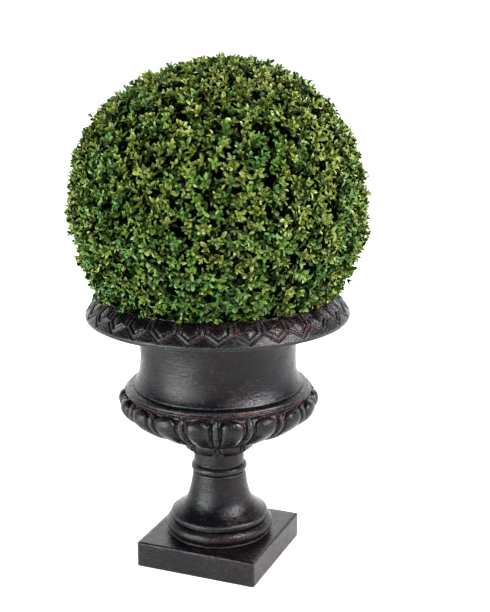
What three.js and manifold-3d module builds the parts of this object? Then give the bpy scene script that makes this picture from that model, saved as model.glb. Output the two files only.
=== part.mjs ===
// A clipped box ball that grows in a black classical urn on a square plinth.
// Millimetres, +Z up. The origin is the middle of the plinth's underside, and the plinth's sides
// lie along X and Y. An angle about Z starts at -Y and turns towards +X.

import * as THREE from 'three';
import { mergeVertices } from 'three/addons/utils/BufferGeometryUtils.js';
import Module from 'manifold-3d';

const wasm = await Module();
wasm.setup();

// ---------------------------------------------------------------- driving dimensions

const GAP = 0.3; // between neighbouring pieces
const ROUND = 36; // sides of a plain turned piece

const PLINTH = { side: 200, top: 41.5, edge: 2.5 };
const FOOT = { fillet: 83, filletTop: 45.6, bead: 10.6, radius: 87 };
const PEDESTAL = { lip: 79, lipTop: 76.5, core: 38, neck: 41, top: 188.7 };
const NECK_RING = { bottom: 148.2, radius: 45.6, bead: 6 };
const COLLAR = { foot: 52.5, radius: 59.5, top: 200.5, leaves: 9, phase: 21.3, relief: 3 };
const BOWL = { foot: 59, lobesTop: 285, band: 147, top: 296.5, wall: 14 };
const LOBES = { count: 18, phase: 1.3, depth: 7, sides: 3 };
const FLARE = { foot: 136.8, top: 325 };
const WAIST = { foot: 125.3, radius: 123.9, height: 347, head: 128.7, top: 388 };
const WALL = 13; // thickness of the flare and the waist
const RIM = { foot: 129, edge: 208, edgeBottom: 411, edgeTop: 414, crest: 177, top: 446.5 };
const FILL_TOP = 396; // the surface of the potting mix, inside the urn
const STEM = { foot: 17, flare: 7, tip: 9, top: 530, lean: 2.5, sides: 12 };
const BALL = { radius: 228.5, centre: 582, bump: 2.5, plug: 150, underside: 401, detail: 8 };
// Where the ball is clipped flatter: the way it faces, how deep, and how wide in radians.
const FLATS = [
  { towards: new THREE.Vector3(-0.34, 0.13, 0.93), depth: 12, width: 0.5 },
  { towards: new THREE.Vector3(-0.88, -0.43, -0.17), depth: 5, width: 0.6 },
];

const { degToRad } = THREE.MathUtils;

// ---------------------------------------------------------------- finishes

const COATING = { color: 0x2a2b2c, roughness: 0.42, metalness: 0.15 };
const MIX = { color: 0x2b2018, roughness: 0.95, metalness: 0 };
const BARK = { color: 0x6b5d48, roughness: 0.9, metalness: 0 };
const FOLIAGE = { color: 0x4d7a24, roughness: 0.6, metalness: 0 };

// ---------------------------------------------------------------- geometry helpers

/** Points [radius, height] along a smooth curve through the given ones. */
function smooth(through, count) {
  const curve = new THREE.SplineCurve(through.map(([r, z]) => new THREE.Vector2(r, z)));
  return curve.getPoints(count).map(({ x, y }) => [x, y]);
}

/** Points [radius, height] round an arc about a centre, in degrees from straight out. */
function arc([r, z], radius, from, to, count) {
  return Array.from({ length: count + 1 }, (_, i) => {
    const angle = degToRad(from + ((to - from) * i) / count);
    return [r + radius * Math.cos(angle), z + radius * Math.sin(angle)];
  });
}

/** A profile moved inwards, square to itself: to the left of the way it runs. */
function offset(profile, distance) {
  return profile.map(([r, z], i) => {
    const [r0, z0] = profile[Math.max(i - 1, 0)];
    const [r1, z1] = profile[Math.min(i + 1, profile.length - 1)];
    const length = Math.hypot(r1 - r0, z1 - z0);
    return [Math.max(r - (distance * (z1 - z0)) / length, 0), z + (distance * (r1 - r0)) / length];
  });
}

/**
 * A turned body from a profile of [radius, height] that runs outwards at the bottom, up the
 * outside and back. It starts and ends on the axis, or closes on itself.
 */
function turned(profile, { sides = ROUND, phase = 0 } = {}) {
  const points = profile.map(([r, z]) => new THREE.Vector2(r, z));
  return new THREE.LatheGeometry(points, sides, degToRad(phase)).rotateX(Math.PI / 2);
}

/** The geometry with each vertex moved by a function of its place. */
function shaped(geometry, move) {
  const position = geometry.getAttribute('position');
  const vertex = new THREE.Vector3();
  for (let i = 0; i < position.count; i++) {
    move(vertex.fromBufferAttribute(position, i));
    position.setXYZ(i, vertex.x, vertex.y, vertex.z);
  }
  return geometry;
}

/** Moves a vertex in towards the Z axis by a distance. */
function drawIn(vertex, distance) {
  const radius = Math.hypot(vertex.x, vertex.y);
  const scale = radius > distance ? (radius - distance) / radius : 1;
  vertex.x *= scale;
  vertex.y *= scale;
}

/** 0 in the middle of a repeated motif and 1 at the groove between two of them. */
function towardsGroove(vertex, count, phase) {
  const turns = ((Math.atan2(vertex.x, -vertex.y) - degToRad(phase)) * count) / (2 * Math.PI);
  return Math.abs(2 * (turns - Math.floor(turns)) - 1);
}

function solidOf(geometry) {
  const bare = new THREE.BufferGeometry();
  bare.setAttribute('position', geometry.getAttribute('position'));
  bare.setIndex(geometry.index);
  const merged = mergeVertices(bare, 1e-3);
  return new wasm.Manifold(new wasm.Mesh({
    numProp: 3,
    vertProperties: merged.getAttribute('position').array,
    triVerts: new Uint32Array(merged.index.array),
  }));
}

function geometryOf(solid) {
  const { numProp, vertProperties, triVerts } = solid.getMesh();
  const vertices = new THREE.InterleavedBuffer(vertProperties, numProp);
  const geometry = new THREE.BufferGeometry();
  geometry.setAttribute('position', new THREE.InterleavedBufferAttribute(vertices, 3, 0));
  geometry.setIndex(new THREE.BufferAttribute(triVerts, 1));
  return geometry;
}

function piece(name, geometry, finish) {
  geometry.computeVertexNormals();
  const mesh = new THREE.Mesh(geometry, new THREE.MeshStandardMaterial(finish));
  mesh.name = name;
  return mesh;
}

// ---------------------------------------------------------------- the urn's foot

/** The square plinth, with its edges eased. */
function plinth() {
  const half = PLINTH.side / 2 - PLINTH.edge;
  const outline = new THREE.Shape([
    new THREE.Vector2(-half, -half),
    new THREE.Vector2(half, -half),
    new THREE.Vector2(half, half),
    new THREE.Vector2(-half, half),
  ]);
  const geometry = new THREE.ExtrudeGeometry(outline, {
    depth: PLINTH.top - 2 * PLINTH.edge,
    bevelSize: PLINTH.edge,
    bevelThickness: PLINTH.edge,
    bevelSegments: 2,
  });
  return piece('plinth', geometry.translate(0, 0, PLINTH.edge), COATING);
}

const FOOT_TOP = FOOT.filletTop + 2 * FOOT.bead;
const NECK_RING_TOP = NECK_RING.bottom + 2 * NECK_RING.bead;

/** A thin fillet disc with the big round moulding on it. */
function footRing() {
  const bottom = PLINTH.top + GAP;
  const beadCentre = [FOOT.radius - FOOT.bead, FOOT.filletTop + FOOT.bead];
  const profile = [
    [0, bottom],
    [FOOT.fillet, bottom],
    [FOOT.fillet, FOOT.filletTop - 1],
    ...arc(beadCentre, FOOT.bead, -75, 90, 5),
    [0, FOOT_TOP],
  ];
  return piece('foot_ring', turned(profile), COATING);
}

/** The bell that sweeps up from its lip, and the neck above it, which the neck ring goes round. */
function pedestal() {
  const bottom = FOOT_TOP + GAP;
  const bell = smooth([
    [PEDESTAL.lip - 0.5, PEDESTAL.lipTop],
    [70, 82],
    [61, 89],
    [54, 98],
    [49.8, 109],
    [46.2, 125],
    [42.8, NECK_RING.bottom - GAP],
  ], 6);
  const profile = [
    [0, bottom],
    [PEDESTAL.lip - 2, bottom],
    [PEDESTAL.lip, bottom + 2.4],
    [PEDESTAL.lip, PEDESTAL.lipTop - 2],
    ...bell,
    [PEDESTAL.core, NECK_RING.bottom - GAP],
    [PEDESTAL.core, NECK_RING_TOP + GAP],
    [PEDESTAL.neck, NECK_RING_TOP + GAP],
    [PEDESTAL.neck, PEDESTAL.top],
    [0, PEDESTAL.top],
  ];
  return piece('pedestal', turned(profile), COATING);
}

/** A round bead closed round the pedestal's neck. */
function neckRing() {
  const bore = PEDESTAL.core + GAP;
  const beadCentre = [NECK_RING.radius - NECK_RING.bead, NECK_RING.bottom + NECK_RING.bead];
  const profile = [
    [bore, NECK_RING.bottom],
    ...arc(beadCentre, NECK_RING.bead, -90, 90, 5),
    [bore, NECK_RING_TOP],
    [bore, NECK_RING.bottom],
  ];
  return piece('neck_ring', turned(profile), COATING);
}

// ---------------------------------------------------------------- the urn's bowl

/** The cup of carved leaves that the bowl sits in, with their tips rolled outwards. */
function bowlCollar() {
  const bottom = PEDESTAL.top + GAP;
  const profile = [
    [0, bottom],
    [COLLAR.foot, bottom],
    ...smooth([[COLLAR.foot + 1, bottom + 0.5], [55.5, 191], [57.5, 195], [COLLAR.radius, 199]], 4),
    [COLLAR.radius, COLLAR.top],
    [0, COLLAR.top],
  ];
  const geometry = turned(profile, { sides: COLLAR.leaves * 4, phase: COLLAR.phase });
  const carved = shaped(geometry, (vertex) => {
    const edge = Math.hypot(vertex.x, vertex.y) > COLLAR.foot - 1;
    const groove = towardsGroove(vertex, COLLAR.leaves, COLLAR.phase) ** 2;
    if (edge) drawIn(vertex, COLLAR.relief * groove);
  });
  return piece('bowl_collar', carved, COATING);
}

/** How far a point of the bowl is drawn in, so that rounded lobes stand between grooves. */
function lobeRelief(vertex) {
  const lower = THREE.MathUtils.smoothstep(vertex.z, COLLAR.top, COLLAR.top + 12);
  const groove = 1 - Math.sqrt(1 - 0.96 * towardsGroove(vertex, LOBES.count, LOBES.phase) ** 2);
  return LOBES.depth * lower * groove;
}

const bowlInside = smooth([
  [FLARE.foot - WALL, BOWL.top],
  [123, 270],
  [117, 250],
  [98, 233],
  [62, 220],
  [0, 214.5],
], 5);

/** The hollow lower bowl: carved lobes that roll in at the top, under a thin plain band. */
function bowl() {
  const bottom = COLLAR.top + GAP;
  const lobed = smooth([
    [BOWL.foot, bottom],
    [83, 208],
    [113, 225],
    [139.5, 242.5],
    [154.5, 255.5],
    [160.5, 267],
    [158.5, 278],
    [152, BOWL.lobesTop],
  ], 7);
  const profile = [
    [0, bottom],
    ...lobed,
    [BOWL.band, BOWL.lobesTop + 2],
    [BOWL.band - 0.5, BOWL.lobesTop + 4.5],
    [BOWL.band - 5.5, BOWL.top - 1.5],
    [FLARE.foot + 0.5, BOWL.top],
    ...bowlInside,
  ];
  const geometry = turned(profile, { sides: LOBES.count * LOBES.sides, phase: LOBES.phase });
  const outerFoot = BOWL.foot - 1;
  const carved = shaped(geometry, (vertex) => {
    const radius = Math.hypot(vertex.x, vertex.y);
    const outside = radius > outerFoot && radius > insideRadius(vertex.z) + BOWL.wall / 2;
    if (outside && vertex.z < BOWL.lobesTop + 1) drawIn(vertex, lobeRelief(vertex));
  });
  return piece('bowl', carved, COATING);
}

/** The radius of the bowl's hollow at a height, 0 below it. */
function insideRadius(height) {
  const above = bowlInside.findIndex(([, z]) => z <= height);
  if (above < 1) return above === 0 ? bowlInside[0][0] : 0;
  const [r0, z0] = bowlInside[above - 1];
  const [r1, z1] = bowlInside[above];
  return r1 + ((r0 - r1) * (height - z1)) / (z0 - z1);
}

const flareOutside = smooth([
  [FLARE.foot, BOWL.top + GAP],
  [131.2, 305],
  [126.6, 317],
  [WAIST.foot, FLARE.top],
], 3);
const waistOutside = smooth([
  [WAIST.foot, FLARE.top + GAP],
  [WAIST.radius, WAIST.height],
  [125.1, 370],
  [WAIST.head, WAIST.top],
], 3);
const insideOf = (outside) => outside.map(([r, z]) => [r - WALL, z]).reverse();

/** One stretch of the urn's wall, open at both ends. */
function wallPiece(name, outside) {
  const profile = [...outside, ...insideOf(outside), outside[0]];
  return piece(name, turned(profile), COATING);
}

const rimInside = smooth([
  [RIM.crest - 4, RIM.top],
  [160, 434],
  [140, 415],
  [124, 400],
  [WAIST.head - WALL, WAIST.top + GAP],
], 4);

/** The broad rim: it flares under, rolls over its edge and rises to a crest round the mouth. */
function rim() {
  const flare = smooth([
    [RIM.foot, WAIST.top + GAP],
    [150, 396],
    [180, 403],
    [RIM.edge - 2, RIM.edgeBottom - 1],
  ], 5);
  const profile = [
    ...flare,
    [RIM.edge, RIM.edgeBottom],
    [RIM.edge, RIM.edgeTop],
    ...smooth([[RIM.edge - 2, 417.5], [196, 431], [RIM.crest, RIM.top]], 3),
    ...rimInside,
    flare[0],
  ];
  return piece('rim', turned(profile), COATING);
}

// ---------------------------------------------------------------- what grows in it

/** The potting mix that fills the urn to just under its mouth. */
function pottingMix() {
  const hollow = [
    ...rimInside,
    ...insideOf(waistOutside).slice(1),
    ...insideOf(flareOutside).slice(1),
    ...bowlInside.slice(1),
  ].reverse();
  const below = hollow.filter(([, z]) => z < FILL_TOP - 2);
  const side = offset(below, 2 * GAP);
  const profile = [...side, [side.at(-1)[0] + 3, FILL_TOP], [0, FILL_TOP]];
  profile[0][0] = 0;
  return piece('potting_mix', turned(profile), MIX);
}

/** The stem, with its taper, lean and root flare, made wider by a clearance where that is asked. */
function stemGeometry(clearance) {
  const foot = FILL_TOP + GAP;
  const height = STEM.top - foot;
  const rows = 7;
  const side = Array.from({ length: rows + 1 }, (_, i) => {
    const part = i / rows;
    const taper = THREE.MathUtils.lerp(STEM.foot, STEM.tip, part);
    return [taper + STEM.flare * (1 - part) ** 6 + clearance, foot + height * part];
  });
  side.at(-1)[1] += clearance;
  const bottom = foot - clearance;
  const profile = [[0, bottom], [side[0][0], bottom], ...side, [0, STEM.top + clearance]];
  return shaped(turned(profile, { sides: STEM.sides }), (vertex) => {
    vertex.x += (vertex.z - foot) * Math.tan(degToRad(STEM.lean));
  });
}

function stem() {
  return piece('stem', stemGeometry(0), BARK);
}

/** The clipped surface in one direction: nearly a sphere, with flats and low soft bumps. */
function clippedRadius(direction) {
  const { x, y, z } = direction;
  const broad = Math.sin(3.1 * x + 1.7 * z + 0.6) * Math.sin(3.7 * y - 1.3 * z + 1.9);
  const fine = Math.sin(8.3 * x - 5.9 * y + 2.2) * Math.sin(7.1 * z + 4.3 * y + 0.7);
  const cuts = FLATS.map(({ towards, depth, width }) => (
    depth * Math.exp(-((direction.angleTo(towards) / width) ** 2))
  ));
  const cut = cuts.reduce((sum, depth) => sum + depth, 0);
  return BALL.radius + BALL.bump * (0.6 * broad + 0.4 * fine) - cut;
}

/** The one mass of leaves: the ball, cut to the urn's mouth, with the stem's socket in it. */
function leafBall() {
  const sphere = shaped(new THREE.IcosahedronGeometry(1, BALL.detail), (vertex) => {
    vertex.multiplyScalar(clippedRadius(vertex));
  });
  const clipped = solidOf(sphere.translate(0, 0, BALL.centre));
  const seat = [
    [0, BALL.underside],
    [BALL.plug * 0.8, BALL.underside],
    [BALL.plug, 430],
    [RIM.crest - 9, RIM.top + GAP],
    [2 * BALL.radius, RIM.top + GAP],
    [2 * BALL.radius, BALL.centre + 2 * BALL.radius],
    [0, BALL.centre + 2 * BALL.radius],
  ];
  const trimmed = clipped.intersect(solidOf(turned(seat, { sides: ROUND })));
  const mass = trimmed.subtract(solidOf(stemGeometry(GAP)));
  return piece('leaf_ball', geometryOf(mass), FOLIAGE);
}

// ---------------------------------------------------------------- the whole

const topiary = new THREE.Group();
topiary.add(
  plinth(),
  footRing(),
  pedestal(),
  neckRing(),
  bowlCollar(),
  bowl(),
  wallPiece('wall_flare', flareOutside),
  wallPiece('wall_waist', waistOutside),
  rim(),
  pottingMix(),
  stem(),
  leafBall(),
);

export default topiary;
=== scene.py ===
"""The looks of a clipped box ball in a black classical urn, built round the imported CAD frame.

Metres, +Z up, in the frame's own place. An angle about Z starts at -Y and turns towards +X. The
shapes of the urn are given in millimetres, with each piece's heights counted from its underside.
"""

import math
from typing import NamedTuple

import bpy
import numpy as np
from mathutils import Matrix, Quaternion, Vector
from mathutils.bvhtree import BVHTree


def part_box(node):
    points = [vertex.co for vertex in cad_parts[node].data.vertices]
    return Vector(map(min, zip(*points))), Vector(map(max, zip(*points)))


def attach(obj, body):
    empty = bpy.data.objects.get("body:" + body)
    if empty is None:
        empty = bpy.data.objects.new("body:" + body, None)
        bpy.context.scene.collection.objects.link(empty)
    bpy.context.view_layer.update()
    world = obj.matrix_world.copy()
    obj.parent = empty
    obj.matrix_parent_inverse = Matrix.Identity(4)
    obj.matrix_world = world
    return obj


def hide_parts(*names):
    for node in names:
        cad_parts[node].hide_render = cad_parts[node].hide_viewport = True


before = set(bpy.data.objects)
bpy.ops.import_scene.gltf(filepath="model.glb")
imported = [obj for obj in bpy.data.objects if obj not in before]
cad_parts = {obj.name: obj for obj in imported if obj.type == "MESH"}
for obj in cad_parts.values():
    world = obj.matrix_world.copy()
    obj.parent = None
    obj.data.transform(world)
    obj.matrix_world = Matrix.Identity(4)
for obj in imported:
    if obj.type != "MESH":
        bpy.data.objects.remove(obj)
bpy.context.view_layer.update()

MM = 0.001

# ---------------------------------------------------------------- camera

CAMERA = {
    "bearing": 23.4,  # degrees from -Y towards +X, as seen from the urn's axis
    "distance": 1.8832,  # from the axis
    "height": 0.9332,
    "pan": 1.302,  # degrees to the right of the axis
    "down": 15.192,  # degrees below level
    "roll": 0.0897,  # degrees
    "lens": 72.61,  # both in millimetres
    "sensor": 36.0,
}


def out(angle):
    """The level direction at an angle in radians, as an array with a last axis of 3."""
    angle = np.asarray(angle, float)
    return np.stack([np.sin(angle), -np.cos(angle), np.zeros_like(angle)], -1)


def make_camera():
    bearing, pan, down, roll = (math.radians(CAMERA[key]) for key in ("bearing", "pan", "down", "roll"))
    data = bpy.data.cameras.new("camera")
    data.lens = CAMERA["lens"]
    data.sensor_width = CAMERA["sensor"]
    camera = bpy.data.objects.new("camera", data)
    bpy.context.scene.collection.objects.link(camera)
    camera.location = Vector(out(bearing)) * CAMERA["distance"] + Vector((0, 0, CAMERA["height"]))
    level = -Vector(out(bearing - pan))
    ahead = level * math.cos(down) - Vector((0, 0, math.sin(down)))
    camera.rotation_mode = "QUATERNION"
    camera.rotation_quaternion = Quaternion(ahead, roll) @ ahead.to_track_quat("-Z", "Y")
    bpy.context.scene.camera = camera


# ---------------------------------------------------------------- meshes


def add_mesh(name, vertices, faces, material, replaces, values=None):
    """A piece from vertices in metres and arrays of face corners, riding on the one body."""
    corners = np.concatenate([f.ravel() for f in faces]).astype(np.int32)
    sizes = np.concatenate([np.full(len(f), f.shape[1]) for f in faces])
    mesh = bpy.data.meshes.new(name)
    mesh.vertices.add(len(vertices))
    mesh.vertices.foreach_set("co", np.asarray(vertices, np.float32).ravel())
    mesh.loops.add(len(corners))
    mesh.loops.foreach_set("vertex_index", corners)
    mesh.polygons.add(len(sizes))
    mesh.polygons.foreach_set("loop_start", (np.cumsum(sizes) - sizes).astype(np.int32))
    mesh.update(calc_edges=True)
    mesh.shade_smooth()
    for key, value in (values or {}).items():
        attribute = mesh.attributes.new(key, "FLOAT", "POINT")
        attribute.data.foreach_set("value", np.asarray(value, np.float32).ravel())
    mesh.materials.append(material)
    made = bpy.data.objects.new(name, mesh)
    bpy.context.scene.collection.objects.link(made)
    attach(made, "root")
    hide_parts(*replaces)


def smoothstep(low, high, x):
    t = np.clip((x - low) / (high - low), 0, 1)
    return t * t * (3 - 2 * t)


def spline(*points, parts=16):
    """A polyline along the Catmull-Rom curve through the points."""
    p = np.array(points, float)
    p = np.vstack([2 * p[0] - p[1], p, 2 * p[-1] - p[-2]])
    t = np.linspace(0, 1, parts, endpoint=False)[:, None]
    runs = [
        0.5 * (2 * b + (c - a) * t + (2 * a - 5 * b + 4 * c - d) * t**2 + (3 * b - a - 3 * c + d) * t**3)
        for a, b, c, d in zip(p, p[1:], p[2:], p[3:])
    ]
    return np.vstack([*runs, p[-2:-1]])


def arc(centre, radius, start, end, parts=16):
    """A polyline round an arc, in degrees from straight out."""
    angle = np.radians(np.linspace(start, end, parts + 1))
    return np.array(centre) + radius * np.stack([np.cos(angle), np.sin(angle)], -1)


FINE = 0.25  # spacing of the polyline that a section is eased on, in millimetres


def lengths(path):
    """The distance along a polyline to each of its points."""
    return np.concatenate([[0], np.cumsum(np.linalg.norm(np.diff(path, axis=0), axis=1))])


def joined(spans):
    """Spans as one fine polyline, and the number of the span that each of its points is on."""
    runs = []
    for points, _ in spans:
        points = np.array(points, float)
        if runs:
            points = np.vstack([runs[-1][-1:], points])
        length = lengths(points)
        at = np.linspace(0, length[-1], max(2, round(length[-1] / FINE)) + 1)
        run = np.stack([np.interp(at, length, points[:, k]) for k in (0, 1)], -1)
        runs.append(run[1:] if runs else run)
    owner = np.concatenate([np.full(len(run), k) for k, run in enumerate(runs)])
    return np.vstack(runs), owner


def eased(path, ease, closed):
    """A fine polyline with its corners rounded off over about the ease, in millimetres."""
    reach = max(1, round(3 * ease / FINE))
    weights = np.exp(-0.5 * (np.arange(-reach, reach + 1) * FINE / ease) ** 2)
    if closed:
        padded = np.vstack([path[-reach:], path, path[:reach]])
    else:
        flip = np.array([-1, 1])
        padded = np.vstack([path[reach:0:-1] * flip, path, path[-2 : -reach - 2 : -1] * flip])
    return np.stack([np.convolve(padded[:, k], weights / weights.sum(), "valid") for k in (0, 1)], -1)


class Section:
    """The rows of a turned piece: radius, height, outward normal and distance along, in mm.

    It is made from (points, row spacing) spans that run up the outside and back down or in. Its
    corners are eased. start gives the distance along at which each span begins.
    """

    def __init__(self, spans, ease, closed=False):
        path, owner = joined(spans)
        if closed and np.allclose(path[0], path[-1]):
            path, owner = path[:-1], owner[:-1]
        path = eased(path, ease, closed)
        ahead = np.roll(path, -1, 0) - np.roll(path, 1, 0)
        if not closed:
            ahead[0], ahead[-1] = path[1] - path[0], path[-1] - path[-2]
            path[[0, -1], 0] = 0
        ahead /= np.linalg.norm(ahead, axis=1)[:, None]
        along = lengths(path)
        rows = []
        self.start = []
        for k, (_, spacing) in enumerate(spans):
            own = np.nonzero(owner == k)[0]
            count = max(1, round(len(own) * FINE / spacing))
            rows.append(own[np.linspace(0, len(own), count, endpoint=False).astype(int)])
            self.start.append(along[own[0]])
        if not closed:
            rows.append([len(path) - 1])
        rows = np.concatenate(rows)
        self.closed = closed
        self.radius, self.height = path[rows].T
        self.normal = np.stack([ahead[rows, 1], -ahead[rows, 0]], -1)
        self.along = along[rows]


def hand_cast(x, y, z, swell):
    """The slight unevenness of a casting, in the unit of swell, from waves of 6 to 25 cm."""
    broad = np.sin(31 * x + 12 * z + 1.3) * np.sin(27 * y - 19 * z + 0.4)
    close = np.sin(83 * x - 61 * y + 2.1) * np.sin(97 * z + 43 * y + 0.9)
    return swell * (0.65 * broad + 0.35 * close)


def bend(points, normal, step, axis):
    """How sharply a grid of points bends away from its normal along one axis, in 1/mm."""
    before, after = np.roll(points, step, axis), np.roll(points, -step, axis)
    rise = ((before + after - 2 * points) * normal).sum(-1)
    run = (np.linalg.norm(before - points, axis=-1) + np.linalg.norm(after - points, axis=-1)) / 2
    return 2 * rise / np.maximum(run, 0.3) ** 2


LEVEL = 8  # height over which the unevenness grows, so that the underside stays flat, in mm
GROOVE = 2.2  # how far to each side the hollowness looks round a piece, in mm


def relieved(section, turn, relief, swell, outline):
    """A turned piece's rows of points in millimetres, with its relief and unevenness."""
    along, own = section.along[:, None], section.radius[:, None]
    radius = own * (outline(turn) if outline else np.ones_like(turn))
    height = section.height[:, None] + 0 * turn
    raised = relief(along, turn, own) if relief else 0 * radius
    cast = hand_cast(radius * np.sin(turn) * MM, radius * np.cos(turn) * MM, height * MM, swell)
    raised = raised + cast * smoothstep(0, LEVEL, height)
    points = out(turn) * (radius + section.normal[:, 0:1] * raised * (own > 0))[..., None]
    points[..., 2] = height + section.normal[:, 1:2] * raised
    return points


def hollowness(points, spacing):
    """From -1 on the crests to 1 in the grooves of a grid of points."""
    across = np.roll(points, -1, 1) - np.roll(points, 1, 1)
    up = np.roll(points, -1, 0) - np.roll(points, 1, 0)
    normal = np.cross(across, up)
    normal /= np.maximum(np.linalg.norm(normal, axis=-1), 1e-9)[..., None]
    round_it = bend(points, normal, max(1, round(GROOVE / spacing)), 1)
    return np.tanh(round_it + bend(points, normal, 2, 0))


def ring_faces(rows, columns):
    """The faces of a grid that closes both ways."""
    index = np.arange(rows * columns).reshape(rows, columns)
    beside = np.roll(index, -1, 1)
    above, beside_above = np.roll(index, -1, 0), np.roll(beside, -1, 0)
    return [np.stack([index, beside, beside_above, above], -1).reshape(-1, 4)]


def shell_faces(rows, columns):
    """The faces of a grid that closes round the axis, and whose end rows are one point each."""
    index = 1 + np.arange((rows - 2) * columns).reshape(rows - 2, columns)
    beside = np.roll(index, -1, 1)
    top = 1 + index.size
    quads = np.stack([index[:-1], beside[:-1], beside[1:], index[1:]], -1).reshape(-1, 4)
    low_fan = np.stack([0 * index[0], beside[0], index[0]], -1)
    high_fan = np.stack([index[-1], beside[-1], 0 * index[-1] + top], -1)
    return [quads, low_fan, high_fan]


def turned(name, section, columns, material, replaces, relief=None, swell=0.3, outline=None):
    """A piece turned from a section, with relief(along, angle, radius) standing out from it."""
    turn = (np.arange(columns) * 2 * math.pi / columns)[None, :]
    points = relieved(section, turn, relief, swell, outline)
    hollow = hollowness(points, 2 * math.pi * section.radius.max() / columns)
    if section.closed:
        faces = ring_faces(*hollow.shape)
        vertices, hollow = points.reshape(-1, 3), hollow.ravel()
    else:
        faces = shell_faces(*hollow.shape)
        vertices = np.vstack([points[0, :1], points[1:-1].reshape(-1, 3), points[-1, :1]])
        hollow = np.concatenate([[0], hollow[1:-1].ravel(), [0]])
    add_mesh(name, vertices * MM, faces, material, replaces, {"hollow": hollow})


# ---------------------------------------------------------------- materials


class Nodes:
    """A new node material, with short ways to add and join its nodes."""

    def __init__(self, name):
        self.material = bpy.data.materials.new(name)
        self.material.use_nodes = True
        self.tree = self.material.node_tree
        self.shader = self.tree.nodes["Principled BSDF"]
        self.place = self.tree.nodes.new("ShaderNodeTexCoord").outputs["Object"]

    def join(self, source, socket):
        if isinstance(source, bpy.types.NodeSocket):
            self.tree.links.new(source, socket)
        else:
            socket.default_value = source

    def noise(self, scale, detail=3.0, roughness=0.55, stretch=None):
        place = self.place
        if stretch:
            mapping = self.tree.nodes.new("ShaderNodeMapping")
            mapping.inputs["Scale"].default_value = stretch
            self.join(self.place, mapping.inputs["Vector"])
            place = mapping.outputs["Vector"]
        node = self.tree.nodes.new("ShaderNodeTexNoise")
        self.join(place, node.inputs["Vector"])
        node.inputs["Scale"].default_value = scale
        node.inputs["Detail"].default_value = detail
        node.inputs["Roughness"].default_value = roughness
        return node.outputs["Fac"]

    def value(self, attribute):
        node = self.tree.nodes.new("ShaderNodeAttribute")
        node.attribute_name = attribute
        return node.outputs["Fac"]

    def remap(self, source, low, high, to_low=0.0, to_high=1.0):
        node = self.tree.nodes.new("ShaderNodeMapRange")
        node.interpolation_type = "SMOOTHSTEP"
        self.join(source, node.inputs["Value"])
        for key, number in zip(("From Min", "From Max", "To Min", "To Max"), (low, high, to_low, to_high)):
            node.inputs[key].default_value = number
        return node.outputs["Result"]

    def math(self, operation, a, b):
        node = self.tree.nodes.new("ShaderNodeMath")
        node.operation = operation
        self.join(a, node.inputs[0])
        self.join(b, node.inputs[1])
        return node.outputs["Value"]

    def mix(self, share, a, b):
        node = self.tree.nodes.new("ShaderNodeMix")
        node.data_type = "RGBA"
        self.join(share, node.inputs["Factor"])
        self.join((*a, 1) if isinstance(a, tuple) else a, node.inputs["A"])
        self.join((*b, 1) if isinstance(b, tuple) else b, node.inputs["B"])
        return node.outputs["Result"]

    def bump(self, height, distance, strength=1.0, under=None):
        node = self.tree.nodes.new("ShaderNodeBump")
        node.inputs["Distance"].default_value = distance
        node.inputs["Strength"].default_value = strength
        self.join(height, node.inputs["Height"])
        if under:
            self.join(under, node.inputs["Normal"])
        return node.outputs["Normal"]

    def finish(self, colour, roughness, normal=None, **constants):
        self.join(colour, self.shader.inputs["Base Color"])
        self.join(roughness, self.shader.inputs["Roughness"])
        if normal:
            self.join(normal, self.shader.inputs["Normal"])
        for key, number in constants.items():
            self.shader.inputs[key.replace("_", " ")].default_value = number
        return self.material


NEAR_BLACK = (0.0054, 0.0052, 0.0078)
WARM_BLACK = (0.0105, 0.0082, 0.0100)
GREY_GREEN = (0.0540, 0.0610, 0.0600)
RED_BROWN = (0.1000, 0.0320, 0.0260)

# The darkest and the palest colour of each.
MIX = (0.012, 0.008, 0.005), (0.060, 0.036, 0.020)
BARK = (0.030, 0.022, 0.014), (0.150, 0.118, 0.078)
YOUNG_WOOD = (0.022, 0.024, 0.008), (0.058, 0.060, 0.022)


def coating():
    """Black paint over red-brown, brushed and worn grey-green, with a grey-green painted highlight on the
    high places.
    """
    n = Nodes("urn_coating")
    mottle = n.noise(13, 4, 0.6)
    brushed = n.noise(70, 5, 0.68, stretch=(1, 1, 4))
    speckle = n.noise(430, 4, 0.65)
    hollow = n.value("hollow")
    ground = n.mix(n.remap(mottle, 0.40, 0.64), NEAR_BLACK, WARM_BLACK)
    # Painted highlight: the crests are coloured grey-green like a sheen. The brushed grey-green in worn is
    # wear.
    high = n.math("MULTIPLY", n.remap(hollow, -0.08, -0.50), n.remap(speckle, 0.36, 0.60))
    worn = n.math("MULTIPLY", n.remap(brushed, 0.50, 0.70), n.remap(speckle, 0.44, 0.60, 0.0, 0.28))
    rubbed_and_sheen = n.mix(n.math("MAXIMUM", n.math("MULTIPLY", high, 0.7), worn), ground, GREY_GREEN)
    deep = n.math("MULTIPLY", n.remap(hollow, 0.12, 0.60), n.remap(n.noise(70, 4), 0.40, 0.58))
    fleck_places = n.remap(mottle, 0.42, 0.60, 0.0, 0.36)
    flecks = n.math("MULTIPLY", n.remap(n.noise(80, 5, 0.75), 0.50, 0.72), fleck_places)
    colour = n.mix(n.math("MAXIMUM", deep, flecks), rubbed_and_sheen, RED_BROWN)
    worked = n.math("ADD", n.math("MULTIPLY", brushed, 0.6), n.math("MULTIPLY", speckle, 0.4))
    grain = n.bump(speckle, 0.0006, 0.8)
    normal = n.bump(brushed, 0.0016, 0.7, under=grain)
    return n.finish(colour, n.remap(worked, 0.38, 0.62, 0.13, 0.30), normal, Specular_IOR_Level=0.36)


def potting_mix_material():
    n = Nodes("potting_mix")
    crumbs = n.noise(160, 5, 0.7)
    colour = n.mix(n.remap(crumbs, 0.38, 0.66), *MIX)
    return n.finish(colour, 0.95, n.bump(crumbs, 0.003, 0.8))


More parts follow.
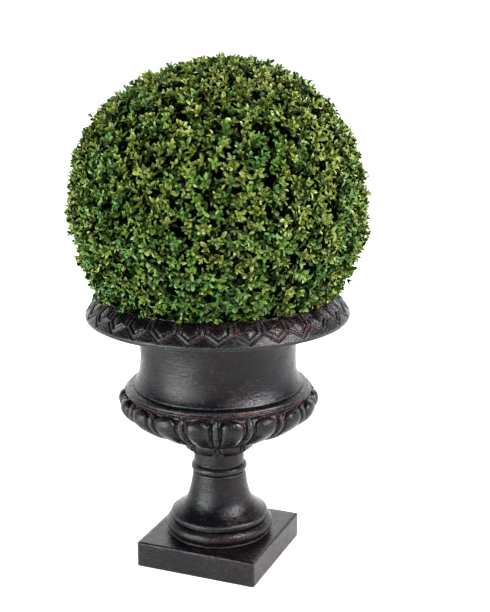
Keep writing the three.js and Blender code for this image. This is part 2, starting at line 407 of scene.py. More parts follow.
def bark_material():
    n = Nodes("bark")
    furrows = n.noise(55, 5, 0.65, stretch=(3, 3, 0.7))
    colour = n.mix(n.remap(furrows, 0.36, 0.64), *BARK)
    return n.finish(colour, 0.88, n.bump(furrows, 0.0015, 0.8))


def twig_material():
    n = Nodes("young_wood")
    tone = n.noise(140, 3)
    colour = n.mix(n.remap(tone, 0.35, 0.65), *YOUNG_WOOD)
    return n.finish(colour, 0.75)


def leaf_material(name, tint, gloss):
    """A waxy leaf of one tint, a little uneven over the blade."""
    n = Nodes(name)
    tone = n.noise(330, 2)
    dull, bright = (tuple(share * c for c in tint) for share in (0.75, 1.25))
    colour = n.mix(n.remap(tone, 0.35, 0.65), dull, bright)
    return n.finish(colour, n.remap(tone, 0.3, 0.7, 0.33, 0.45), Specular_IOR_Level=gloss)


# ---------------------------------------------------------------- the urn


def underside(node):
    """The height of a node's underside in millimetres."""
    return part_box(node)[0].z / MM


def lifted(base, spans):
    """Spans with their heights moved up by a base height."""
    return [(np.array(points, float) + [0, base], spacing) for points, spacing in spans]


PLINTH = {"half": 101.7, "height": 41.5}  # a little wider than the solid
SQUARE = 110  # power of the superellipse that gives the plinth's plan, with its corners just eased


def plan(turn):
    """The reach of a square of half-side 1 with eased corners, by angle."""
    return (np.abs(np.cos(turn)) ** SQUARE + np.abs(np.sin(turn)) ** SQUARE) ** (-1 / SQUARE)


def make_plinth(material):
    half, top = PLINTH["half"], PLINTH["height"]
    spans = [
        ([(0, 0), (half, 0)], 9),
        ([(half, top)], 2.2),
        ([(0, top)], 5),
    ]
    section = Section(lifted(underside("plinth"), spans), ease=1.2)
    turned("plinth_piece", section, 480, material, ["plinth"], swell=0.35, outline=plan)


def make_foot_ring(material):
    spans = [
        ([(0, 0), (83, 0)], 8),
        ([(83, 3.8)], 0.8),
        (arc((76.4, 14.4), 10.6, -75, 90), 1.0),
        ([(0, 25)], 8),
    ]
    section = Section(lifted(underside("foot_ring"), spans), ease=0.7)
    turned("foot_ring_piece", section, 360, material, ["foot_ring"])


def make_pedestal(material):
    bell = spline((78.5, 9.4), (70, 14.9), (61, 21.9), (54, 30.9), (49.8, 41.9), (46.2, 57.9), (42.8, 80.8))
    spans = [
        ([(0, 0), (76.5, 0)], 8),
        ([(79, 2.4), (79, 7.4)], 0.8),
        (bell, 1.6),
        ([(38, 80.8), (38, 93.4), (41, 93.4)], 3),
        ([(41, 121.6)], 1.6),
        ([(0, 121.6)], 8),
    ]
    section = Section(lifted(underside("pedestal"), spans), ease=0.9)
    turned("pedestal_piece", section, 320, material, ["pedestal"], swell=0.5)


def make_neck_ring(material):
    bead = arc((39.6, 6), 6, -90, 90)
    spans = [([(38.3, 0), (39.6, 0)], 1.2), (bead, 0.8), ([(38.3, 12), (38.3, 0)], 3)]
    section = Section(lifted(underside("neck_ring"), spans), ease=0.6, closed=True)
    turned("neck_ring_piece", section, 300, material, ["neck_ring"])


def ridge(x, centre, width):
    return np.exp(-(((x - centre) / width) ** 2))


def from_middle(turn, count, middle):
    """The angle from the middle of the nearest of some motifs set evenly round the urn."""
    pitch = 2 * math.pi / count
    turns = (turn - math.radians(middle)) / pitch
    return (turns - np.round(turns)) * pitch


COLLAR = {
    "cups": 9,
    "middle": 1.3,  # degrees to the middle of a cup
    "lowest": 2.4,  # height of a cup's outline at its middle
    "rise": 24,  # how much higher it is between two cups
    "border": 2.0,  # heights of the rolled border, the belly, the groove between them and the ground
    "belly": 1.5,
    "groove": -1.5,
    "ground": -1.8,
}


def make_collar(material):
    base = underside("bowl_collar")
    spans = [
        ([(0, -3.6), (41.5, -3.6)], 8),
        (spline((43, -3.4), (47.6, -1.8), (52.8, 1.2), (57, 5.4), (59.6, 10), (60.4, 15)), 0.5),
        ([(59, 16.4)], 0.6),
        ([(0, 16.4)], 8),
    ]
    section = Section(lifted(base, spans), ease=0.6)
    foot, head = section.start[1], section.start[3]

    def cups(along, turn, radius):
        """Round-bottomed cups, each with a rolled border and a groove inside it."""
        x = np.abs(from_middle(turn, COLLAR["cups"], COLLAR["middle"])) * COLLAR["cups"] / math.pi
        up = along - foot
        slope = 4 * COLLAR["rise"] * x**3 / (np.maximum(radius, 1) * math.pi / COLLAR["cups"])
        inside = (up - COLLAR["lowest"] - COLLAR["rise"] * x**4) / np.hypot(1, slope)
        shape = COLLAR["border"] * ridge(inside, 0, 1.4) + COLLAR["groove"] * ridge(inside, 3.0, 1.1)
        shape = shape + COLLAR["belly"] * smoothstep(4, 8, inside)
        shape = shape + COLLAR["ground"] * smoothstep(-0.8, -2.5, inside)
        return shape * smoothstep(-0.5, 1.5, up) * smoothstep(head + 1, head - 2, along)

    turned("bowl_collar_piece", section, 640, material, ["bowl_collar"], relief=cups)


LOBES = {
    "count": 18,
    "dart": 1.3,  # degrees to the rib between two lobes
    "half": 0.116,  # half widths of a lobe and of a rib, in radians
    "rib": 0.034,
    "top": 15,  # lengths of a lobe's round ends
    "bottom": 18,
    "depth": 8.5,  # of the carving
    "rib_height": 0.72,  # as a share of a lobe's
}
CUPS = {
    "count": 9,
    "middle": 1.3,  # degrees to the middle of a cup
    "rise": 12,  # how much higher its edge is between two cups
    "width": 1.4,  # of its rolled border
    "border": 2.2,  # heights of the border, the groove over it and the ground under it
    "groove": -1.6,
    "ground": -1.2,
}


def make_bowl(material):
    base = underside("bowl")
    underneath = (57.5, 3.5), (70, 9), (95, 18), (121, 30), (142, 43.7)
    bulge = spline(*underneath, (154.5, 54.7), (160.5, 66.2), (159, 77.7), (150.5, 88))
    spans = [
        ([(0, 3.5), (57.5, 3.5)], 9),
        (bulge, 1.9),
        ([(146.6, 89.2), (146.6, 91.6), (144.6, 94), (141, 95.3), (137, 95.7)], 0.8),
        ([(124, 95.7)], 3),
        (spline((124, 95.7), (123, 69.2), (117, 49.2), (98, 36), (62, 24), (0, 18)), 7),
    ]
    section = Section(lifted(base, spans), ease=0.7)
    foot, flange = section.start[1], section.start[2]
    half_pitch = math.pi / LOBES["count"]

    def lobes(along, turn, radius):
        """Plump egg-shaped lobes under the band, with ribs between, their feet in rolled cups."""
        down, up = flange - along, along - foot
        x = np.abs(from_middle(turn, LOBES["count"], LOBES["dart"] + 180 / LOBES["count"]))
        cup = np.abs(from_middle(turn, CUPS["count"], CUPS["middle"])) * CUPS["count"] / math.pi
        lip = CUPS["rise"] * cup**6
        ends = np.maximum(1 - (down - 1.5) / LOBES["top"], 1 - (up - lip - 1) / LOBES["bottom"])
        q = np.hypot(x / LOBES["half"], np.maximum(0, ends))
        egg = np.sqrt(np.maximum(0, 1 - q**2.6))
        rib = LOBES["rib_height"] * np.sqrt(np.maximum(0, 1 - ((half_pitch - x) / LOBES["rib"]) ** 2))
        carved = np.maximum(egg, rib * smoothstep(1, 4, down)) - 1
        carved = carved * LOBES["depth"] * (0.40 + 0.60 * smoothstep(60, 125, radius))
        rolled = CUPS["border"] * ridge(up, lip, CUPS["width"]) + CUPS["groove"] * ridge(up, lip + 2.8, 1.1)
        rolled = rolled + CUPS["ground"] * smoothstep(lip + 1, lip - 2, up)
        carved = carved * smoothstep(lip + 0.5, lip + 3.5, up) + rolled
        return carved * smoothstep(-0.5, 1.0, up) * smoothstep(-0.4, 0.8, down)

    columns = 40 * LOBES["count"]
    turned("bowl_piece", section, columns, material, ["bowl"], relief=lobes, swell=0.25)


WALL = 13  # thickness of the bowl's wall


def make_wall(material):
    base = underside("wall_flare")
    lower = (136.8, 0), (131.2, 8.2), (126.6, 20.2), (124.6, 34.2)
    outside = spline(*lower, (123.9, 50.2), (125.1, 73.2), (128.7, 91.2))
    inside = (outside - [WALL, 0])[::-1]
    spans = [(outside, 1.8), (inside, 6), (outside[:1], 3)]
    section = Section(lifted(base, spans), ease=0.6, closed=True)
    turned("wall_piece", section, 360, material, ["wall_flare", "wall_waist"], swell=0.7)


RIM = {
    "tongues": 29,
    "middle": -1.13,  # degrees to the middle of a tongue
    "half": 20.6,  # half width of a tongue
    "shoulder": 25,  # how far down from the crest its sides end, and its point is
    "tip": 40.6,
    "border": 1.7,  # heights of the rolled border, the plate, the grooves and the ground
    "plate": 1.9,
    "groove": -1.7,
    "ground": 0.9,
}
PLATE = {"half": 12.3, "top": 3.0, "shoulder": 23, "tip": 33, "slope": 9}


def inside_tongue(x, down, half, shoulder, tip):
    """The distance in from the outline of a straight-sided tongue with a V for its tip."""
    side = half - x
    slant = ((tip - down) * half - x * (tip - shoulder)) / math.hypot(half, tip - shoulder)
    return np.minimum(side, slant)


def make_rim(material):
    base = underside("rim")
    under = spline((129, 0), (150, 7.7), (180, 14.7), (206, 21.7))
    spans = [
        (under, 3.0),
        ([(208, 22.7), (208, 25.7)], 0.8),
        (spline((207, 28.5), (196, 42.7), (177, 58.2)), 0.95),
        (spline((173, 58.2), (160, 45.7), (140, 26.7), (124, 11.7), (115.7, 0)), 7),
        (under[:1], 4),
    ]
    section = Section(lifted(base, spans), ease=0.9, closed=True)
    edge, crest = section.start[1], section.start[3]

    def tongues(along, turn, radius):
        """Tongues side by side, each a domed plate in a rolled border."""
        down = crest - along
        x = np.abs(from_middle(turn, RIM["tongues"], RIM["middle"])) * radius
        outer = inside_tongue(x, down, RIM["half"], RIM["shoulder"], RIM["tip"])
        inner = inside_tongue(x, down, PLATE["half"], PLATE["shoulder"], PLATE["tip"])
        inner = np.minimum(inner, down - PLATE["top"])
        border = np.clip(outer / np.maximum(outer - inner, 0.5), 0, 1)
        shape = RIM["border"] * np.sin(math.pi * border) * (inner < 0) * (outer > 0)
        shape = shape + RIM["plate"] * (1 - (1 - np.clip(inner / PLATE["slope"], 0, 1)) ** 2)
        shape = shape + RIM["groove"] * (ridge(inner, 0, 0.85) + ridge(outer, 0, 0.85))
        shape = shape + RIM["ground"] * smoothstep(1, 4, -outer)
        return shape * smoothstep(crest + 1, crest - 2, along) * smoothstep(edge + 3.5, edge + 6, along)

    columns = 32 * RIM["tongues"]
    turned("rim_piece", section, columns, material, ["rim"], relief=tongues, swell=0.35)


def make_urn():
    material = coating()
    make_plinth(material)
    make_foot_ring(material)
    make_pedestal(material)
    make_neck_ring(material)
    make_collar(material)
    make_bowl(material)
    make_wall(material)
    make_rim(material)


# ---------------------------------------------------------------- what fills the urn


def make_potting_mix(material):
    top = (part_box("potting_mix")[1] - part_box("potting_mix")[0]).z / MM
    wall = spline((0, 0), (61, 6), (96, 19), (115.5, 36), (121.5, 55), (122, 81))
    spans = [
        (wall, 5),
        (spline((121, 87), (113, 105), (110.5, 130), (111.5, 155), (117, top - 4)), 5),
        ([(115, top), (0, top)], 1.6),
    ]
    section = Section(lifted(underside("potting_mix"), spans), ease=1.5)
    head = section.start[2]

    def crumbs(along, turn, radius):
        """Lumps and pits over the surface of the mix."""
        x, y = radius * np.sin(turn), radius * np.cos(turn)
        coarse = np.sin(0.41 * x + 0.9) * np.sin(0.37 * y + 2.2) + np.sin(0.23 * x - 0.29 * y)
        close = np.sin(1.13 * x - 0.7 * y) * np.sin(0.95 * y + 0.6 * x + 1.1)
        return (0.8 * coarse + 0.7 * close - 1.2) * smoothstep(head + 2, head + 8, along)

    turned("potting_mix_piece", section, 300, material, ["potting_mix"], relief=crumbs)


# ---------------------------------------------------------------- the shrub's limbs

RANDOM = np.random.default_rng(11)


class Limbs(NamedTuple):
    """A level of limbs."""

    count: int
    radius: tuple  # at both ends, in millimetres
    rows: int
    sides: int
    share: float = 0.0  # how far out they end, as a share of the clipped ball's reach
    loose: float = 0.0  # how loosely they are aimed, in metres
    lumps: float = 0.0  # how far their ends stand in and out from place to place, in metres


BOUGHS = Limbs(12, radius=(6.4, 4.2), rows=26, sides=16, share=0.42, loose=0.012)
BRANCHES = Limbs(66, radius=(3.4, 2.2), rows=9, sides=7, share=0.66, loose=0.009)
TWIGS = Limbs(560, radius=(1.9, 1.1), rows=6, sides=5, share=0.84, loose=0.005)
SHOOTS = Limbs(4700, radius=(0.9, 0.4), rows=4, sides=3, share=0.987, loose=0.0042, lumps=0.0015)
LOW_TWIGS = Limbs(150, radius=(1.6, 1.0), rows=6, sides=5)


def unit(v):
    return v / np.maximum(np.linalg.norm(v, axis=-1, keepdims=True), 1e-12)


GOLDEN = math.pi * (3 - math.sqrt(5))  # the turn that spreads points evenly, in radians


def spread(count):
    """Directions spread evenly over a sphere."""
    k = np.arange(count) + 0.5
    height = 1 - 2 * k / count
    level = np.sqrt(1 - height**2)
    turn = k * GOLDEN
    return np.stack([level * np.cos(turn), level * np.sin(turn), height], -1)


BALL_MIDDLE = (0, 0, 0.582)


class Ball:
    """The clipped ball: its middle, and how far it reaches in any direction."""

    def __init__(self):
        self.middle = np.array(BALL_MIDDLE)
        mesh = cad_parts["leaf_ball"].data
        corners = [v.co.copy() for v in mesh.vertices]
        self.tree = BVHTree.FromPolygons(corners, [tuple(p.vertices) for p in mesh.polygons])

    def reach(self, directions):
        middle = Vector(self.middle)
        return np.array([self.tree.ray_cast(middle, Vector(d))[3] for d in directions])


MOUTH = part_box("rim")[1].z  # the height of the urn's crest


def patches(places, scale):
    """A smooth value about 0 that wanders over the ball in patches some six scales across."""
    x, y, z = (places / scale).T
    fine = np.sin(x + 0.6 * z + 0.4) * np.sin(0.9 * y - 0.5 * z + 1.2)
    return fine + 0.7 * np.sin(0.43 * x - 0.61 * y + 0.38 * z)


STRAY = 0.35  # of an end from its even place, as a share of the gap between ends
LUMP_SCALE = 0.006


def aims(ball, level):
    """Where a level's limbs end, and the ways out there."""
    stray = RANDOM.normal(0, STRAY / math.sqrt(level.count), (level.count, 3))
    directions = unit(spread(level.count) + stray)
    reach = ball.reach(directions)
    surface = ball.middle + directions * reach[:, None]
    open_air = surface[:, 2] > MOUTH + MM
    directions, reach, surface = directions[open_air], reach[open_air], surface[open_air]
    reach = level.share * reach + level.lumps * patches(surface, LUMP_SCALE)
    points = ball.middle + directions * reach[:, None]
    return points + RANDOM.normal(0, level.loose, points.shape), directions


HANDLE = 0.36  # of a path's curve at each end, as a share of the gap that it spans


def bezier(starts, ends, ahead, arrive, rows):
    """Paths that leave the starts one way and come to the ends another way."""
    t = np.linspace(0, 1, rows)[None, :, None]
    handle = np.linalg.norm(ends - starts, axis=-1, keepdims=True) * HANDLE
    a, b, c, d = (p[:, None, :] for p in (starts, starts + ahead * handle, ends - arrive * handle, ends))
    return a * (1 - t) ** 3 + 3 * b * t * (1 - t) ** 2 + 3 * c * t**2 * (1 - t) + d * t**3


MOUTH_REACH = 0.143  # how far from the axis the low twigs end
MOUTH_RISE = (-0.003, 0.007)  # how far above the urn's crest


def low_aims():
    """Where the low twigs end, spread over the urn's mouth at the level of its crest."""
    k = np.arange(LOW_TWIGS.count) + 0.5
    ends = out(k * GOLDEN) * (MOUTH_REACH * np.sqrt(k / len(k)))[:, None]
    ends[:, 2] = MOUTH + RANDOM.uniform(*MOUTH_RISE, len(k))
    return ends, np.tile([0, 0, -1.0], (len(k), 1))


LOWEST_FORK = 0.45  # share of a limb's length below which nothing grows from it
FOLLOW = 0.55  # how far a limb sets off along its parent, where 1 is wholly
SWING = 0.25  # how loosely it comes to its end


def grow(parents, ends, directions, rows):
    """Limbs to the ends, each from a point on the nearest limb of the level before."""
    gap = np.linalg.norm(ends[:, None, :] - parents[None, :, -1, :], axis=-1)
    owner = np.argmin(gap, axis=1)
    share = RANDOM.uniform(LOWEST_FORK, 1.0, len(ends))
    step = np.round(share * (parents.shape[1] - 1)).astype(int)
    starts = parents[owner, step]
    along = unit(starts - parents[owner, step - 1])
    ahead = unit(FOLLOW * along + (1 - FOLLOW) * unit(ends - starts))
    arrive = unit(directions + RANDOM.normal(0, SWING, directions.shape))
    return bezier(starts, ends, ahead, arrive, rows)


def tubes(paths, radii, sides, relief=None):
    """Closed round limbs along paths, as vertices and faces. radii is in metres, one per row."""
    count, rows, _ = paths.shape
    ahead = unit(np.gradient(paths, axis=1))
    chord = np.abs(unit(paths[:, -1] - paths[:, 0]))
    reference = np.eye(3)[np.argmin(chord, axis=1)][:, None, :]
    side = unit(np.cross(ahead, reference))
    up = np.cross(ahead, side)
    turn = (np.arange(sides) * 2 * math.pi / sides)[None, None, :, None]
    ring = np.cos(turn) * side[:, :, None, :] + np.sin(turn) * up[:, :, None, :]
    radii = np.broadcast_to(radii, (count, rows))[..., None, None]
    if relief is not None:
        radii = radii * relief[..., None]
    body = paths[:, :, None, :] + ring * radii
    tips = np.stack([paths[:, 0], paths[:, -1] + ahead[:, -1] * radii[:, -1, :1, 0].reshape(count, -1)], 1)
    vertices = np.concatenate([body.reshape(count, rows * sides, 3), tips], 1)
    index = np.arange(rows * sides).reshape(rows, sides)
    beside = np.roll(index, -1, 1)
    quads = np.stack([index[:-1], beside[:-1], beside[1:], index[1:]], -1).reshape(-1, 4)
    foot = np.stack([0 * index[0] + rows * sides, beside[0], index[0]], -1)
    head = np.stack([0 * index[0] + rows * sides + 1, index[-1], beside[-1]], -1)
    caps = np.concatenate([foot, head])
    each = (np.arange(count) * (rows * sides + 2))[:, None, None]
    return vertices.reshape(-1, 3), (quads + each).reshape(-1, 4), (caps + each).reshape(-1, 3)


def gathered(parts):
    """Several (vertices, quads, triangles) as one."""
    starts = np.cumsum([0] + [len(part[0]) for part in parts])
    return (
        np.concatenate([part[0] for part in parts]),
        np.concatenate([part[1] + start for part, start in zip(parts, starts)]),
        np.concatenate([part[2] + start for part, start in zip(parts, starts)]),
    )


def bark_relief(paths, sides):
    """Furrows that run along a limb and wander a little, as a share of its radius."""
    count, rows, _ = paths.shape
    turn = (np.arange(sides) * 2 * math.pi / sides)[None, None, :]
    along = (paths[..., 2] / MM)[..., None] * 0.11
    own = np.arange(count)[:, None, None] * 1.7
    furrow = np.sin(5 * turn + 2.2 * np.sin(along + own) + own)
    close = np.sin(9 * turn - 1.6 * np.sin(0.7 * along + 2 * own) + 3.1)
    lump = np.sin(2 * turn + 1.3 * along + own)
    return 1 + 0.045 * furrow + 0.03 * close + 0.03 * lump


STEM = {"rows": 40, "sides": 56, "foot": 17, "head": 9, "flare": 6, "wander": 0.0025}


def stem_path():
    """The middle line of the CAD stem, from its foot to its head, and its radius along it."""
    low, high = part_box("stem")
    corners = np.array([v.co[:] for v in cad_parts["stem"].data.vertices])
    foot = corners[corners[:, 2] < low.z + MM].mean(0)
    head = corners[corners[:, 2] > high.z - MM].mean(0)
    share = np.linspace(0, 1, STEM["rows"])
    path = foot * (1 - share[:, None]) + head * share[:, None]
    path[:, 2] = np.linspace(low.z + 0.3 * MM, high.z, STEM["rows"])
    path[:, 1] += STEM["wander"] * np.sin(math.pi * share) * np.sin(7 * share)
    radius = STEM["foot"] + (STEM["head"] - STEM["foot"]) * share + STEM["flare"] * (1 - share) ** 6
    return path[None], (radius * MM)[None]


def radii_of(level):
    return np.linspace(*level.radius, level.rows)[None] * MM


def make_limbs(ball, bark, young_wood):
    """The stem and all its limbs. Gives the shoots' and the twigs' paths, for leaves to sit on."""
    stem, stem_radii = stem_path()
    boughs = grow(stem[:, ::4], *aims(ball, BOUGHS), BOUGHS.rows)
    branches = grow(boughs, *aims(ball, BRANCHES), BRANCHES.rows)
    twigs = grow(branches, *aims(ball, TWIGS), TWIGS.rows)
    shoots = grow(twigs, *aims(ball, SHOOTS), SHOOTS.rows)
    low_twigs = grow(branches, *low_aims(), LOW_TWIGS.rows)
    thick = gathered([
        tubes(stem, stem_radii, STEM["sides"], bark_relief(stem, STEM["sides"])),
        tubes(boughs, radii_of(BOUGHS), BOUGHS.sides, bark_relief(boughs, BOUGHS.sides)),
    ])
    thin = gathered([
        tubes(paths, radii_of(level), level.sides)
        for paths, level in ((branches, BRANCHES), (twigs, TWIGS), (shoots, SHOOTS), (low_twigs, LOW_TWIGS))
    ])
    add_mesh("stem_and_boughs", thick[0], thick[1:], bark, ["stem"])
    add_mesh("twigs", thin[0], thin[1:], young_wood, ["leaf_ball"])
    return shoots, np.concatenate([twigs, low_twigs])


# ---------------------------------------------------------------- leaves

# A leaf's vertices: along in lengths, across in half widths. Its foot, three rows from side to
# side, and its tip.
LEAF_ROWS = [(x, w * y) for x, w in ((0.22, 0.72), (0.52, 1.0), (0.82, 0.72)) for y in (1, 0, -1)]
LEAF = np.array([(0, 0), *LEAF_ROWS, (1, 0)])
LEAF_QUADS = np.array([(k, k + 1, k + 4, k + 3) for k in (1, 2, 4, 5)])
LEAF_TRIANGLES = np.array([(0, 2, 1), (0, 3, 2), (10, 7, 8), (10, 8, 9)])
PIECE_LEAVES = 16000  # in one mesh, which keeps it under 200,000 triangles

# Pairs of leaves down a shoot: distance from its tip in millimetres, mean angle from its axis in
# degrees, and length in millimetres.
PAIRS = [
    (-0.5, 24, 7.4),
    (1.5, 40, 10.0),
    (5.5, 50, 11.3),
    (10.0, 56, 12.0),
    (15.0, 58, 12.3),
    (21.0, 60, 12.5),
    (27.0, 62, 12.5),
]
OVERHANG = 0.150  # leaves further out than this are kept above the urn's crest
CLEARANCE = 0.0007
MOST_LIFT = 0.012  # a leaf that would be lifted further than this is dropped


class Leaves:
    """Leaves as arrays of vertices, each with its depth down its shoot and the spray it is in."""

    def __init__(self, base, axis, face, length, half, droop, cup, depth, spray):
        side = unit(np.cross(face, axis))
        face = np.cross(axis, side)
        along, across = LEAF.T
        up = cup[:, None] * across[None, :] ** 2 - droop[:, None] * along[None, :] ** 2
        reach = along[None, :] * (1 - 0.35 * (droop[:, None] * along[None, :]) ** 2)
        self.points = (
            base[:, None]
            + axis[:, None] * (reach * length[:, None])[..., None]
            + side[:, None] * (across[None, :] * half[:, None])[..., None]
            + face[:, None] * (up * length[:, None])[..., None]
        )
        self.depth = depth
        self.spray = spray

    def clear_of_crest(self):
        """Lifts the leaves that would go down through the urn's crest. Gives the ones to keep."""
        reach = np.hypot(self.points[..., 0], self.points[..., 1])
        low = np.where(reach > OVERHANG, self.points[..., 2], 1.0).min(1)
        lift = np.maximum(0, MOUTH + CLEARANCE - low)
        self.points[..., 2] += lift[:, None]
        return lift < MOST_LIFT


# How the leaves of the shoots differ. Spreads of their size by shoot and by leaf, of a pair's turn
# and of a leaf's twist in radians, of its angle from the shoot in degrees, and of its place down
# the shoot in millimetres. Then means and spreads as shares of a leaf's length.
SIZES = {"shoot": 0.09, "leaf": 0.10}
SPREADS = {"turn": 0.22, "twist": 0.45, "angle": 16, "place": 0.5}
HALF_WIDTH = (0.235, 0.025)
DROOP = (0.20, 0.14)
CUP = (0.11, 0.05)
FOOT_OUT = 0.0006  # from a shoot's middle line to a leaf's foot


def shoot_leaves(shoots):
    """Opposite pairs of leaves down each shoot, every pair across the last."""
    tips = shoots[:, -1]
    axis = unit(shoots[:, -1] - shoots[:, -2])
    count = len(shoots)
    reference = unit(RANDOM.normal(0, 1, (count, 3)))
    first = unit(np.cross(axis, reference))
    second = np.cross(axis, first)
    size = RANDOM.normal(1, SIZES["shoot"], count)
    made = []
    for k, (back, angle, length) in enumerate(PAIRS):
        for sign in (1, -1):
            turn = k * math.pi / 2 + RANDOM.normal(0, SPREADS["turn"], count)
            way = sign * (np.cos(turn)[:, None] * first + np.sin(turn)[:, None] * second)
            tilt = np.radians(angle + RANDOM.normal(0, SPREADS["angle"], count))[:, None]
            leaf_axis = np.cos(tilt) * axis + np.sin(tilt) * way
            face = np.sin(tilt) * axis - np.cos(tilt) * way
            twist = RANDOM.normal(0, SPREADS["twist"], count)[:, None]
            face = face + twist * np.cross(leaf_axis, face)
            down_shoot = back + RANDOM.normal(0, SPREADS["place"], count)
            base = tips - axis * (down_shoot * MM)[:, None] + way * FOOT_OUT
            long = length * MM * size * RANDOM.normal(1, SIZES["leaf"], count)
            half = long * RANDOM.normal(*HALF_WIDTH, count)
            droop = RANDOM.normal(*DROOP, count)
            cup = RANDOM.normal(*CUP, count)
            depth = np.full(count, float(back))
            made.append((base, leaf_axis, face, long, half, droop, cup, depth, np.arange(count)))
    return Leaves(*(np.concatenate(column) for column in zip(*made)))


INNER = {
    "each": 22,  # along each twig
    "on": (0.35, 1.05),  # the stretch that they are on, as shares of the twig
    "scatter": 0.006,  # from the twig, in metres
    "outward": 0.5,  # how strongly they point out of the ball, against the two spreads below
    "axis": 0.6,
    "face": 0.4,
    "length": (15, 1.5),  # in millimetres
    "half": 0.30,  # half width and curl as shares of the length
    "curl": (0.05, 0.05),
    "depth": 99.0,  # deeper than any leaf of a shoot
}


def inner_leaves(twigs, ball):
    """The older leaves inside, along the twigs, which close the view through the ball."""
    count = len(twigs) * INNER["each"]
    owner = np.repeat(np.arange(len(twigs)), INNER["each"])
    place = RANDOM.uniform(*INNER["on"], count) * (twigs.shape[1] - 1)
    row = np.minimum(place.astype(int), twigs.shape[1] - 2)
    share = (place - row)[:, None]
    on = twigs[owner, row] * (1 - share) + twigs[owner, row + 1] * share
    base = on + RANDOM.normal(0, INNER["scatter"], (count, 3))
    outward = unit(base - ball.middle)
    axis = unit(outward * INNER["outward"] + RANDOM.normal(0, INNER["axis"], (count, 3)))
    face = unit(outward + RANDOM.normal(0, INNER["face"], (count, 3)))
    long = RANDOM.normal(*INNER["length"], count) * MM
    curl = RANDOM.normal(*INNER["curl"], count)
    depth = np.full(count, INNER["depth"])
    return Leaves(base, axis, face, long, long * INNER["half"], curl, curl, depth, owner)


# Base colours of the sprays, from blue-green to yellow-green, and the darker painted shade of the leaves
# further in.
TINTS = {
    "blue_green": (0.078, 0.156, 0.046),
    "deep_green": (0.053, 0.092, 0.022),
    "mid_green": (0.103, 0.165, 0.036),
    "olive_green": (0.134, 0.169, 0.041),
    "yellow_green": (0.160, 0.194, 0.051),
}
# Painted shade: the leaves further in are darker and less glossy, where little light reaches them.
SHADE = {"shade_green": (0.036, 0.062, 0.018), "inner_shade_green": (0.008, 0.015, 0.005)}
GLOSS = {"open": 0.34, "shaded": 0.15}
# Depths past which a leaf takes the painted shade tints.
SHADE_DEPTH = 7  # millimetres down a shoot
INNER_DEPTH = 12

# A spray's score deals it its tint. It wanders in patches, differs from spray to spray, and grows
# with height, in metres, so that the foot of the ball is greener.
SCORE = {"patches": 0.55, "scale": 0.014, "own": 0.75, "height": 2.4}
TINT_ENDS = [0.12, 0.27, 0.58, 0.84]  # the share of the sprays at which each tint but the last ends


def deal_tints(leaves, tips):
    """The name of a material for each leaf: a tint for its spray, or a darker one further in as painted
    shade.
    """
    own = RANDOM.normal(0, SCORE["own"], len(tips))
    score = SCORE["patches"] * patches(tips, SCORE["scale"]) + own + SCORE["height"] * tips[:, 2]
    order = np.argsort(np.argsort(score)) / len(tips)
    tint = np.searchsorted(TINT_ENDS, order)[leaves.spray]
    tint = np.where(leaves.depth > SHADE_DEPTH, len(TINTS), tint)
    tint = np.where(leaves.depth > INNER_DEPTH, len(TINTS) + 1, tint)
    return np.array([*TINTS, *SHADE])[tint]


def add_leaves(name, points, material):
    """Leaves of one tint, in as many pieces as their count asks for."""
    for part, start in enumerate(range(0, len(points), PIECE_LEAVES)):
        own = points[start : start + PIECE_LEAVES]
        each = (np.arange(len(own)) * len(LEAF))[:, None, None]
        faces = [(LEAF_QUADS + each).reshape(-1, 4), (LEAF_TRIANGLES + each).reshape(-1, 3)]
        add_mesh(f"{name}_leaves_{part}", own.reshape(-1, 3), faces, material, ["leaf_ball"])


def make_foliage(shoots, twigs, ball):
    leaves = shoot_leaves(shoots)
    tint = deal_tints(leaves, shoots[:, -1])
    kept = leaves.clear_of_crest()
    inner = inner_leaves(twigs, ball)
    inner_kept = inner.clear_of_crest()
    for name, colour in {**TINTS, **SHADE}.items():
        points = leaves.points[kept & (tint == name)]
        # The inner leaves all take the darkest painted shade.
        if name == "inner_shade_green":
            points = np.concatenate([points, inner.points[inner_kept]])
        gloss = GLOSS["open" if name in TINTS else "shaded"]
        add_leaves(name, points, leaf_material(name, colour, gloss))


def make_shrub():
    ball = Ball()
    shoots, twigs = make_limbs(ball, bark_material(), twig_material())
    make_foliage(shoots, twigs, ball)


# ---------------------------------------------------------------- light


def aim(light, place, target):
    light.location = place
    light.rotation_mode = "QUATERNION"
    light.rotation_quaternion = (Vector(target) - Vector(place)).to_track_quat("-Z", "Y")


def softbox(name, bearing, distance, height, size, power, colour):
    """A rectangular light at a bearing from the camera's own, in degrees to its right."""
    data = bpy.data.lights.new(name, "AREA")
    data.shape = "RECTANGLE"
    data.size, data.size_y = size
    data.energy = power
    data.color = colour
    light = bpy.data.objects.new(name, data)
    bpy.context.scene.collection.objects.link(light)
    place = Vector(out(math.radians(CAMERA["bearing"] + bearing))) * distance
    aim(light, place + Vector((0, 0, height)), (0, 0, 0.4))


# Of the backdrop: how steeply its brightest way leads down, the cosines at which it starts and is
# full, the heights at which the bright horizon starts and is full, and the brightness of each.
BACKDROP = {"fall": 0.5, "from": 0.30, "full": 0.55, "bright": 1.6}
HORIZON = {"from": 0.42, "full": 0.24, "bright": 1.0}
DIM = 0.04


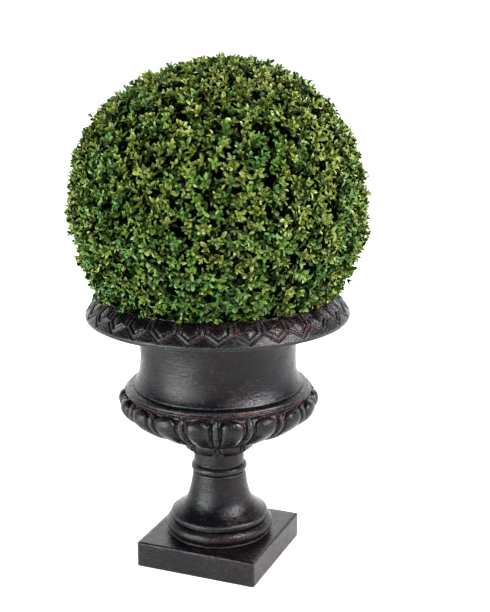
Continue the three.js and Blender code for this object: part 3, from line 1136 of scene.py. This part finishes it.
def make_world():
    """A white backdrop behind the object and round the horizon, and dim elsewhere."""
    world = bpy.data.worlds.new("studio")
    bpy.context.scene.world = world
    world.use_nodes = True
    tree = world.node_tree
    direction = tree.nodes.new("ShaderNodeTexCoord").outputs["Generated"]
    behind = out(math.radians(CAMERA["bearing"] + 180)) - np.array([0, 0, BACKDROP["fall"]])
    towards = tree.nodes.new("ShaderNodeVectorMath")
    towards.operation = "DOT_PRODUCT"
    towards.inputs[1].default_value = behind
    split = tree.nodes.new("ShaderNodeSeparateXYZ")
    tree.links.new(direction, towards.inputs[0])
    tree.links.new(direction, split.inputs["Vector"])
    fades = []
    for source, part in ((towards.outputs["Value"], BACKDROP), (split.outputs["Z"], HORIZON)):
        fade = tree.nodes.new("ShaderNodeMapRange")
        fade.interpolation_type = "SMOOTHSTEP"
        tree.links.new(source, fade.inputs["Value"])
        fade.inputs["From Min"].default_value = part["from"]
        fade.inputs["From Max"].default_value = part["full"]
        fade.inputs["To Min"].default_value = DIM
        fade.inputs["To Max"].default_value = part["bright"]
        fades.append(fade.outputs["Result"])
    brighter = tree.nodes.new("ShaderNodeMath")
    brighter.operation = "MAXIMUM"
    tree.links.new(fades[0], brighter.inputs[0])
    tree.links.new(fades[1], brighter.inputs[1])
    tree.links.new(brighter.outputs["Value"], tree.nodes["Background"].inputs["Strength"])
    tree.nodes["Background"].inputs["Color"].default_value = (1, 1, 1, 1)


GLOW = {"near": 0.10, "far": 0.56, "from": 0.7, "full": 2.6}  # strengths, and the metres between
FLOOR_REACH = 150  # metres


def make_floor():
    """A wide pale floor that glows a little where the lights don't reach, so that it stays white."""
    n = Nodes("floor")
    colour = n.mix(n.noise(1.3, 2), (0.88, 0.88, 0.88), (0.91, 0.91, 0.91))
    away = n.tree.nodes.new("ShaderNodeVectorMath")
    away.operation = "LENGTH"
    n.join(n.place, away.inputs[0])
    glow = n.remap(away.outputs["Value"], GLOW["from"], GLOW["full"], GLOW["near"], GLOW["far"])
    n.join(glow, n.shader.inputs["Emission Strength"])
    n.shader.inputs["Emission Color"].default_value = (1, 1, 1, 1)
    material = n.finish(colour, 0.9)
    mesh = bpy.data.meshes.new("floor")
    outline = [(FLOOR_REACH * x, FLOOR_REACH * y, 0) for x, y in ((-1, -1), (1, -1), (1, 1), (-1, 1))]
    mesh.from_pydata(outline, [], [(0, 1, 2, 3)])
    mesh.materials.append(material)
    floor = bpy.data.objects.new("floor", mesh)
    bpy.context.scene.collection.objects.link(floor)


def make_surroundings():
    settings = bpy.context.scene.view_settings
    settings.view_transform = "Standard"
    settings.look = "High Contrast"
    make_world()
    make_floor()
    softbox("left_light", -56, 2.0, 0.60, (1.0, 1.15), 50, (0.95, 1.0, 0.96))
    softbox("right_light", 58, 1.9, 1.75, (0.80, 0.80), 88, (1.0, 0.96, 0.97))
    softbox("back_light", 170, 1.9, 2.6, (1.6, 1.2), 37, (1.0, 1.0, 1.0))


make_camera()
make_urn()
make_potting_mix(potting_mix_material())
make_shrub()
make_surroundings()


def corners(bounds):
    return [list(bounds[0]), list(bounds[1])]
